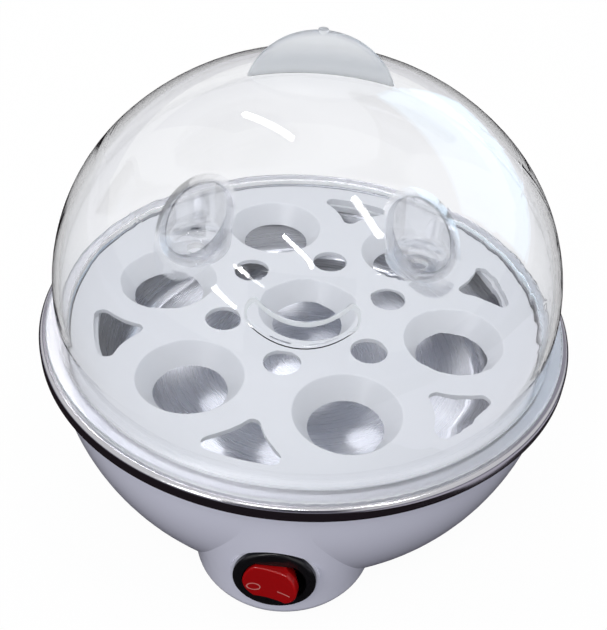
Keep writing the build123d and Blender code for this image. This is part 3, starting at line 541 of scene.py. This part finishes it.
def turned_sheet(context, name, profile, rounds, sheet, segments):
    """A sheet turned round the main axis from (radius, height) points with rounded corners."""
    bpy.ops.object.select_all(action="DESELECT")
    bpy.ops.mesh.primitive_plane_add(size=sheet, location=(0, 0, 0))
    piece = context.active_object
    piece.name = piece.data.name = name
    bpy.ops.object.mode_set(mode="EDIT")
    bpy.ops.mesh.select_all(action="SELECT")
    bpy.ops.mesh.merge(type="CENTER")
    bpy.ops.transform.translate(value=(profile[0][0], 0, profile[0][1]))
    for (r0, z0), (r1, z1) in zip(profile, profile[1:]):
        bpy.ops.mesh.extrude_region_move(TRANSFORM_OT_translate={"value": (r1 - r0, 0, z1 - z0)})
    for (before, here, after), radius in zip(zip(profile, profile[1:], profile[2:]), rounds):
        if not radius:
            continue
        back, ahead = Vector(before) - Vector(here), Vector(after) - Vector(here)
        reach = radius / math.tan(back.angle(ahead) / 2)
        pick_near(context, Vector((here[0], 0, here[1])))
        bpy.ops.mesh.bevel(affect="VERTICES", offset=reach, offset_type="OFFSET", segments=ROUND_STEPS,
                           profile=0.5)
    bpy.ops.mesh.select_all(action="SELECT")
    bpy.ops.mesh.spin(steps=segments, angle=2 * math.pi, center=(0, 0, 0), axis=(0, 0, 1))
    bpy.ops.mesh.select_all(action="SELECT")
    bpy.ops.mesh.remove_doubles(threshold=MERGE_GAP)
    bpy.ops.mesh.normals_make_consistent(inside=False)
    bpy.ops.object.mode_set(mode="OBJECT")
    wall = piece.modifiers.new("sheet", "SOLIDIFY")
    wall.thickness = sheet
    wall.offset = 0.0
    wall.use_even_offset = True
    bpy.ops.object.modifier_apply(modifier="sheet")
    bpy.ops.object.shade_smooth_by_angle(angle=SMOOTH_ANGLE)
    return piece


def pick_near(context, point):
    """Selects the one vertex of the mesh in edit mode that lies nearest to a point."""
    bpy.ops.mesh.select_all(action="DESELECT")
    bpy.ops.object.mode_set(mode="OBJECT")
    near = min(context.active_object.data.vertices, key=lambda v: (v.co - point).length)
    near.select = True
    bpy.ops.object.mode_set(mode="EDIT")
    bpy.ops.mesh.select_mode(type="VERT")


class EGGCOOKER_OT_dish(bpy.types.Operator):
    """Brushed steel dish with painted shade on its sloped wall and a polished rim whose darker steel is a painted
    dark reflection
    """
    bl_idname = "egg_cooker.dish"
    bl_label = "Finish Heating Dish"

    def execute(self, context):
        looks = context.scene.egg_cooker.steel
        dish = turned_sheet(context, "turned_dish", self.section(looks),
                            (0.0, looks.bend, looks.corner, looks.corner, looks.corner, looks.rim_round),
                            looks.sheet, looks.segments)
        paint(self.steel(looks), "turned_dish")
        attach(dish, "base")
        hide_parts("heating_dish")
        return {"FINISHED"}

    def section(self, looks):
        """The middle line of the sheet from the axis to the rim's lower edge, as (radius, height) points."""
        half = looks.sheet / 2
        low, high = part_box("heating_dish")
        floor, ledge = low[2] + half, LEDGE_HEIGHT - half
        rim, edge = high[2] - RIM_CLEARANCE - half, high[0] - half
        return ((0.0, floor), (HUB_RADIUS, floor), (FLOOR_RADIUS, floor), (WALL_RADIUS, ledge),
                (LEDGE_RADIUS, ledge), (LEDGE_RADIUS, rim), (edge, rim), (edge, RIM_FOOT))

    def steel(self, looks):
        """Steel whose colour and gloss change from the brushed floor to the wall and the rim. The wall's darker
        colour is painted shade, and the rim's darker colour is a painted dark reflection of its surroundings.
        """
        material, shader, nodes = fresh_material("pressed_dish")
        rings = use_group(nodes, "turned_rings", (-900, 0), ring_scale=2600.0, depth=0.05)
        film = use_group(nodes, "handling_marks", (-900, -300), scale=45.0, amount=0.8)
        # The rim's mask gives both its real polish and its painted dark reflection
        rim = ramp(nodes, rings["Radius"], looks.rim_start, looks.rim_start + RIM_EDGE, (-650, -100))
        # Where the shade painted on the sloped wall begins
        wall = ramp(nodes, rings["Radius"], looks.slope_shade_start, looks.slope_shade_start + SLOPE_SHADE_EDGE, (-650, 450))
        brushed = blend_value(nodes, rings["Rings"], looks.floor_roughness - STEEL_SPREAD,
                              looks.floor_roughness + STEEL_SPREAD, (-450, 0))
        polished = blend_value(nodes, film["Mask"], looks.rim_roughness, looks.rim_roughness + STEEL_SPREAD,
                               (-450, -250))
        gloss = blend_value(nodes, rim, brushed, polished, (-200, -100))
        floor = blend_colour(nodes, rings["Rings"], shaded(looks.steel, 0.94), shaded(looks.steel, 1.06),
                             (-450, 250))
        # Painted shade on the sloped wall
        slope_painted_shade = blend_colour(nodes, wall, floor, looks.wall, (-300, 400))
        # Painted dark reflection on the rim
        tone = blend_colour(nodes, rim, slope_painted_shade, looks.rim, (-200, 200))
        drawn = add(nodes, "ShaderNodeTangent", (-200, -350), direction_type="RADIAL", axis="Z")
        preset(shader, {"Metallic": 1.0, "Anisotropic": looks.brushing})
        feed(shader.inputs["Tangent"], drawn.outputs["Tangent"])
        dress(shader, tone, gloss, rings["Normal"])
        return material


class EGGCOOKER_OT_body(bpy.types.Operator):
    """Glossy white shell and its satin floor"""
    bl_idname = "egg_cooker.body"
    bl_label = "Finish Body"

    def execute(self, context):
        looks = context.scene.egg_cooker.body
        material, shader = wiped_moulding("white_shell", looks.plastic, 0.01, looks.roughness, 0.08,
                                          {"scale": 420.0, "depth": 0.02}, {"scale": 30.0, "amount": 0.7})
        preset(shader, {"Coat Weight": 0.25, "Coat Roughness": 0.05})
        paint(material, "body_shell")
        paint(plain_moulding("white_floor", looks.plastic, looks.floor_roughness, scale=1200.0, depth=0.08,
                             spread=0.04), "base_cover")
        return {"FINISHED"}


class EGGCOOKER_OT_switch(bpy.types.Operator):
    """Black switch case and red rocker"""
    bl_idname = "egg_cooker.switch"
    bl_label = "Finish Switch"

    def execute(self, context):
        looks = context.scene.egg_cooker.switch
        paint(plain_moulding("black_case", looks.case, 0.22, scale=1500.0, depth=0.03), "switch_housing")
        material = plain_moulding("red_rocker", looks.rocker, looks.roughness, scale=1100.0, depth=0.02)
        preset(material.node_tree.nodes["Principled BSDF"],
               {"Subsurface Weight": 0.12, "Subsurface Radius": (1.0, 0.1, 0.1), "Subsurface Scale": 0.0015})
        paint(material, "switch_rocker")
        return {"FINISHED"}


class EGGCOOKER_OT_rocker_marks(bpy.types.Operator):
    """Pale ring and bar on the rocker's hollowed face"""
    bl_idname = "egg_cooker.rocker_marks"
    bl_label = "Model Rocker Marks"

    def execute(self, context):
        looks = context.scene.egg_cooker.switch
        turn = Matrix.Rotation(looks.tilt, 4, "Z") @ Matrix.Rotation(math.pi / 2, 4, "X")
        pivot = next(j for j in frame["joints"] if j["name"] == "rocker_press")["pos_m"]
        stand = Matrix.Translation(pivot) @ turn @ Matrix.Translation((0, 0, MARK_START))
        bpy.ops.object.select_all(action="DESELECT")
        bpy.ops.mesh.primitive_circle_add(vertices=48, radius=looks.ring_radius + looks.stroke / 2,
                                          fill_type="NGON", location=(0, 0, 0))
        ring = context.active_object
        bpy.ops.object.mode_set(mode="EDIT")
        bpy.ops.mesh.select_all(action="SELECT")
        bpy.ops.mesh.inset(thickness=looks.stroke, use_even_offset=True)
        bpy.ops.mesh.delete(type="FACE")
        bpy.ops.mesh.select_all(action="SELECT")
        bpy.ops.transform.translate(value=(looks.ring_place, -looks.mark_drop, 0))
        bpy.ops.object.mode_set(mode="OBJECT")
        bpy.ops.object.select_all(action="DESELECT")
        bpy.ops.mesh.primitive_grid_add(x_subdivisions=10, y_subdivisions=2, size=1.0, location=(0, 0, 0))
        bpy.ops.object.mode_set(mode="EDIT")
        bpy.ops.mesh.select_all(action="SELECT")
        bpy.ops.transform.resize(value=(looks.bar_length, looks.stroke, 1.0))
        bpy.ops.transform.translate(value=(looks.bar_place, -looks.mark_drop, 0))
        bpy.ops.object.mode_set(mode="OBJECT")
        ring.select_set(True)
        bpy.ops.object.join()
        marks = context.active_object
        marks.name = marks.data.name = "rocker_marks"
        marks.data.transform(stand)
        wrap = marks.modifiers.new("seat", "SHRINKWRAP")
        wrap.target = frame["nodes"]["switch_rocker"]
        wrap.wrap_method = "NEAREST_SURFACEPOINT"
        wrap.wrap_mode = "ABOVE_SURFACE"
        wrap.offset = MARK_LIFT
        solid = marks.modifiers.new("film", "SOLIDIFY")
        solid.thickness = PAINT_FILM
        solid.offset = 0.0
        for name in ("seat", "film"):
            bpy.ops.object.modifier_apply(modifier=name)
        paint(plain_moulding("mark_paint", looks.marks, 0.45, scale=2000.0, depth=0.04), "rocker_marks")
        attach(marks, "rocker")
        return {"FINISHED"}


class EGGCOOKER_OT_rubber(bpy.types.Operator):
    """Rubber feet and gland, and the soft dish seal"""
    bl_idname = "egg_cooker.rubber"
    bl_label = "Finish Rubber"

    def execute(self, context):
        looks = context.scene.egg_cooker.fittings
        rubber = plain_moulding("black_rubber", looks.rubber, 0.62, scale=1300.0, depth=0.12, spread=0.3)
        paint(rubber, "cord_gland", "foot_1", "foot_2", "foot_3", "foot_4")
        paint(plain_moulding("soft_seal", looks.seal, 0.6, scale=900.0, depth=0.1), "dish_seal")
        return {"FINISHED"}


class EGGCOOKER_OT_fittings(bpy.types.Operator):
    """Metal, ceramic and plastic pieces inside the body"""
    bl_idname = "egg_cooker.fittings"
    bl_label = "Finish Inner Fittings"

    def execute(self, context):
        looks = context.scene.egg_cooker.fittings
        paint(drawn_metal("plated_steel", looks.plating, 0.26), "tie_screws", "dish_bosses", "strap_studs",
              "strap_nuts", "thermostat_strap", "terminal_screws", "block_screw", "fuse_clip", "rocker_spring",
              "thermal_fuse", "thermostat_cap")
        paint(drawn_metal("element_sheath", looks.sheath, 0.48), "heating_element", "element_pins")
        paint(drawn_metal("tinned_brass", looks.brass, 0.28), "pin_crimps", "thermostat_tabs", "earth_tag",
              "contact_blade", "common_terminal", "load_terminal", "spade_connectors")
        paint(plain_moulding("fired_ceramic", looks.ceramic, 0.7, scale=1100.0, depth=0.15), "element_beads",
              "thermostat_body", "fuse_sleeve")
        paint(plain_moulding("block_plastic", looks.block, 0.4), "terminal_block", "rocker_plunger")
        return {"FINISHED"}


class EGGCOOKER_OT_wiring(bpy.types.Operator):
    """Insulated inner wires, the earth wire striped"""
    bl_idname = "egg_cooker.wiring"
    bl_label = "Finish Wiring"

    def execute(self, context):
        looks = context.scene.egg_cooker.fittings
        paint(plain_moulding("brown_wire", looks.brown, 0.45), "live_lead", "switched_lead", "fuse_lead",
              "heater_lead")
        paint(plain_moulding("blue_wire", looks.blue, 0.45), "neutral_lead")
        material, shader, nodes = fresh_material("earth_wire")
        stripes = add(nodes, "ShaderNodeTexWave", (-650, 0), wave_type="BANDS", bands_direction="DIAGONAL",
                      vector=object_place(nodes, (-900, 0)), scale=120.0)
        edge = ramp(nodes, stripes.outputs["Fac"], 0.55, 0.60, (-450, 0))
        skin = use_group(nodes, "moulded_skin", (-450, -250), scale=1200.0, depth=0.05)
        dress(shader, blend_colour(nodes, edge, looks.green, looks.yellow, (-200, 100)),
              blend_value(nodes, skin["Mottle"], 0.38, 0.52, (-200, -100)), skin["Normal"])
        paint(material, "earth_lead")
        return {"FINISHED"}


# Ends and widths of the narrow lamps, each placed where the lid mirrors it
TUBES = (
    ((-0.655, 0.930, 1.250), (-0.255, 0.556, 1.599), 0.05),
    ((0.396, -0.088, 1.675), (0.731, -0.424, 1.499), 0.07),
    ((-0.264, -0.628, 1.586), (0.089, -0.908, 1.464), 0.04),
    ((-0.754, -0.849, 1.287), (-0.428, -1.135, 1.215), 0.04),
    ((-0.957, -1.002, 0.994), (-0.710, -1.262, 0.900), 0.04),
)
TUBE_TONE = (1.0, 0.995, 0.98)

# Sizes, places and colours of the two broad lamps, and the point in the dome that every lamp faces
WINDOW = ((1.5, 1.1), (1.01, 1.085, 0.62), (0.50, 0.78, 1.0))
FAN = ((0.14, 0.14), (-0.08, 1.09, 1.26), (1.0, 1.0, 1.0))
LAMP_AIM = (0, 0, 0.09)

# What only gloss sees: heights of the two flags over the floor, the small one's place and radius,
# and the two cards' places, tilts and sizes
FLAG_PLACE = (0, 0, 0.0004)
GREY_FLAG_PLACE = (0.33, -0.15, 0.0008)
GREY_FLAG_RADIUS = 0.24
FLAG_SIDES = 96
CARDS = (
    ("back_card", (0, 1.60, 1.90), 90, (3.4, 1.0, 2.2)),
    ("front_card", (0, -1.09, 0.75), 57, (1.0, 1.0, 1.0)),
)

# The camera's place and its own right and up, as fitted to the photograph
CAMERA_PLACE = (0.0151596, -0.2349673, 0.2445316)
CAMERA_RIGHT = (0.9949428, 0.0789429, 0.0621044)
CAMERA_UP = (-0.0981006, 0.6309572, 0.7695903)
SENSOR_WIDTH = 36.0

EVEN_LIGHT = (0.97, 0.98, 1.0)


def seen_past(nodes, rays, place):
    """A mask of the rays that show the surroundings: the camera's own, mirrored ones and those through glass."""
    return greatest(nodes, place, *(rays[f"Is {kind} Ray"] for kind in ("Camera", "Glossy", "Transmission")))


class EGGCOOKER_OT_stage(bpy.types.Operator):
    """Pale floor, soft studio light and the camera"""
    bl_idname = "egg_cooker.stage"
    bl_label = "Set Stage"

    def execute(self, context):
        looks = context.scene.egg_cooker.stage
        self.floor(context, looks)
        self.flags(context, looks)
        self.lights(context, looks)
        self.world(context, looks)
        self.camera(context, looks)
        context.scene.view_settings.view_transform = "Standard"
        return {"FINISHED"}

    def floor(self, context, looks):
        """A wide floor that reads as white, keeps a part of the shadow and throws little light back."""
        bpy.ops.object.select_all(action="DESELECT")
        bpy.ops.mesh.primitive_plane_add(size=2 * looks.floor_size, location=(0, 0, 0))
        ground = context.active_object
        ground.name = "floor"
        material, shader, nodes = fresh_material("pale_floor")
        preset(shader, {"Base Color": rgba(looks.floor), "Roughness": 0.9, "Specular IOR Level": 0.0})
        rays = add(nodes, "ShaderNodeLightPath", (-300, 500)).outputs
        part = reckon(nodes, "MULTIPLY", (200, 400), seen_past(nodes, rays, (-100, 500)), looks.floor_white)
        white = add(nodes, "ShaderNodeEmission", (200, 200))
        pale = blend_shader(nodes, part, shader.outputs["BSDF"], white.outputs["Emission"], (450, 100))
        dim = add(nodes, "ShaderNodeBsdfDiffuse", (450, -150), color=rgba(looks.floor_bounce))
        out = nodes["Material Output"]
        out.location = (850, 0)
        feed(out.inputs["Surface"],
             blend_shader(nodes, rays["Is Diffuse Ray"], pale, dim.outputs["BSDF"], (650, 100)))
        ground.data.materials.append(material)

    def flags(self, context, looks):
        """Flags on the floor, a low wall and two cards that only gloss sees, so that it has edges to mirror."""
        for name, radius, place in (("flag", looks.flag_size, FLAG_PLACE),
                                    ("grey_flag", GREY_FLAG_RADIUS, GREY_FLAG_PLACE)):
            bpy.ops.object.select_all(action="DESELECT")
            bpy.ops.mesh.primitive_circle_add(vertices=FLAG_SIDES, radius=radius, fill_type="NGON", location=place)
            self.gloss_only(context.active_object, name, getattr(looks, name))
        bpy.ops.object.select_all(action="DESELECT")
        bpy.ops.mesh.primitive_cylinder_add(vertices=FLAG_SIDES, radius=looks.flag_size, depth=looks.wall_height,
                                            end_fill_type="NOTHING", location=(0, 0, looks.wall_height / 2))
        self.gloss_only(context.active_object, "low_wall", looks.wall)
        for name, place, tilt, size in CARDS:
            bpy.ops.object.select_all(action="DESELECT")
            bpy.ops.mesh.primitive_plane_add(size=1.0, location=place, rotation=(math.radians(tilt), 0, 0))
            bpy.ops.transform.resize(value=size)
            self.gloss_only(context.active_object, name, getattr(looks, name))

    def gloss_only(self, card, name, tone):
        """A plain card that is seen in reflections and nowhere else."""
        card.name = name
        material, _, nodes = fresh_material(name)
        glow = add(nodes, "ShaderNodeEmission", (100, 200), color=rgba(tone))
        feed(nodes["Material Output"].inputs["Surface"], glow.outputs["Emission"])
        card.data.materials.append(material)
        card.visible_camera = card.visible_diffuse = card.visible_transmission = False
        card.visible_shadow = card.visible_volume_scatter = False

    def lights(self, context, looks):
        """Narrow lamps that the lid mirrors, a cool window for the lid alone, and a fan for all but the lid."""
        upright = Vector((0, 0, 1))
        for number, (start, end, width) in enumerate(TUBES, 1):
            start, end = Vector(start), Vector(end)
            self.lamp(context, f"tube_{number}", looks.tube, (width, (end - start).length), (start + end) / 2,
                      TUBE_TONE, end - start)
        window = self.lamp(context, "window", looks.window, *WINDOW, upright)
        window.visible_diffuse = False
        self.meant_for(window, "INCLUDE", "lid")
        fan = self.lamp(context, "fan", looks.fan, *FAN, upright)
        self.meant_for(fan, "EXCLUDE", "lid")

    def meant_for(self, lamp, state, name):
        """Links a lamp to one piece alone, or keeps it off that piece."""
        group = bpy.data.collections.new(lamp.name + "_pieces")
        group.objects.link(frame["nodes"][name])
        group.collection_objects[0].light_linking.link_state = state
        lamp.light_linking.receiver_collection = group

    def lamp(self, context, name, power, size, place, tone, along):
        """A rectangular lamp that faces the dome, its long side laid along a direction."""
        data = bpy.data.lights.new(name, "AREA")
        data.shape = "RECTANGLE"
        data.size, data.size_y = size
        data.energy = power
        data.color = tone
        lamp = bpy.data.objects.new(name, data)
        place = Vector(place)
        back = (place - Vector(LAMP_AIM)).normalized()
        side = along.cross(back).normalized()
        turn = Matrix((side, back.cross(side), back)).transposed().to_4x4()
        lamp.matrix_world = Matrix.Translation(place) @ turn
        context.scene.collection.objects.link(lamp)
        return lamp

    def world(self, context, looks):
        """Even light on the object, and white where the camera, gloss or glass looks past it."""
        world = bpy.data.worlds.new("studio")
        context.scene.world = world
        world.use_nodes = True
        nodes = world.node_tree.nodes
        even = nodes["Background"]
        preset(even, {"Color": rgba(EVEN_LIGHT), "Strength": looks.ambient})
        rays = add(nodes, "ShaderNodeLightPath", (-500, 300)).outputs
        level = blend_value(nodes, rays["Is Camera Ray"], looks.mirrored, 1.0, (-200, 100))
        white = add(nodes, "ShaderNodeBackground", (0, 200), color=(1.0, 1.0, 1.0, 1.0), strength=level)
        both = blend_shader(nodes, seen_past(nodes, rays, (-300, 300)), even.outputs["Background"],
                            white.outputs["Background"], (250, 100))
        feed(nodes["World Output"].inputs["Surface"], both)

    def camera(self, context, looks):
        """The camera at the photograph's place, angle and framing."""
        data = bpy.data.cameras.new("camera")
        data.lens = looks.lens
        data.sensor_width = SENSOR_WIDTH
        data.shift_x, data.shift_y = looks.shift
        data.clip_start = 0.01
        camera = bpy.data.objects.new("camera", data)
        right, up = Vector(CAMERA_RIGHT), Vector(CAMERA_UP)
        turn = Matrix((right, up, right.cross(up))).transposed().to_4x4()
        camera.matrix_world = Matrix.Translation(CAMERA_PLACE) @ turn
        context.scene.collection.objects.link(camera)
        context.scene.camera = camera


class EGGCOOKER_PT_looks(bpy.types.Panel):
    """Sidebar panel with the egg cooker's operators and settings"""
    bl_idname = "EGGCOOKER_PT_looks"
    bl_label = "Egg Cooker"
    bl_space_type = "VIEW_3D"
    bl_region_type = "UI"
    bl_category = "Egg Cooker"

    def draw(self, context):
        column = self.layout.column()
        for operator in OPERATORS:
            column.operator(operator.bl_idname)
        looks = context.scene.egg_cooker
        for part in ("lid", "tray", "steel", "body", "switch", "fittings", "stage"):
            settings = getattr(looks, part)
            column.label(text=part.title())
            for name in settings.__annotations__:
                column.prop(settings, name)


GROUPS = (LidFinish, TrayFinish, SteelFinish, BodyFinish, SwitchFinish, FittingsFinish, StageSettings,
          EggCookerLooks)
OPERATORS = (EGGCOOKER_OT_lid, EGGCOOKER_OT_tray, EGGCOOKER_OT_dish, EGGCOOKER_OT_body, EGGCOOKER_OT_switch,
             EGGCOOKER_OT_rocker_marks, EGGCOOKER_OT_rubber, EGGCOOKER_OT_fittings, EGGCOOKER_OT_wiring,
             EGGCOOKER_OT_stage)


def register():
    """Registers the settings, the operators and the panel."""
    for kind in (*GROUPS, *OPERATORS, EGGCOOKER_PT_looks):
        bpy.utils.register_class(kind)
    bpy.types.Scene.egg_cooker = PointerProperty(type=EggCookerLooks)


def unregister():
    """Removes what register added."""
    del bpy.types.Scene.egg_cooker
    for kind in reversed((*GROUPS, *OPERATORS, EGGCOOKER_PT_looks)):
        bpy.utils.unregister_class(kind)


def main():
    """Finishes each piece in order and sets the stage."""
    register()
    for operator in OPERATORS:
        family, name = operator.bl_idname.split(".")
        getattr(getattr(bpy.ops, family), name)()


if __name__ == "__main__":
    main()
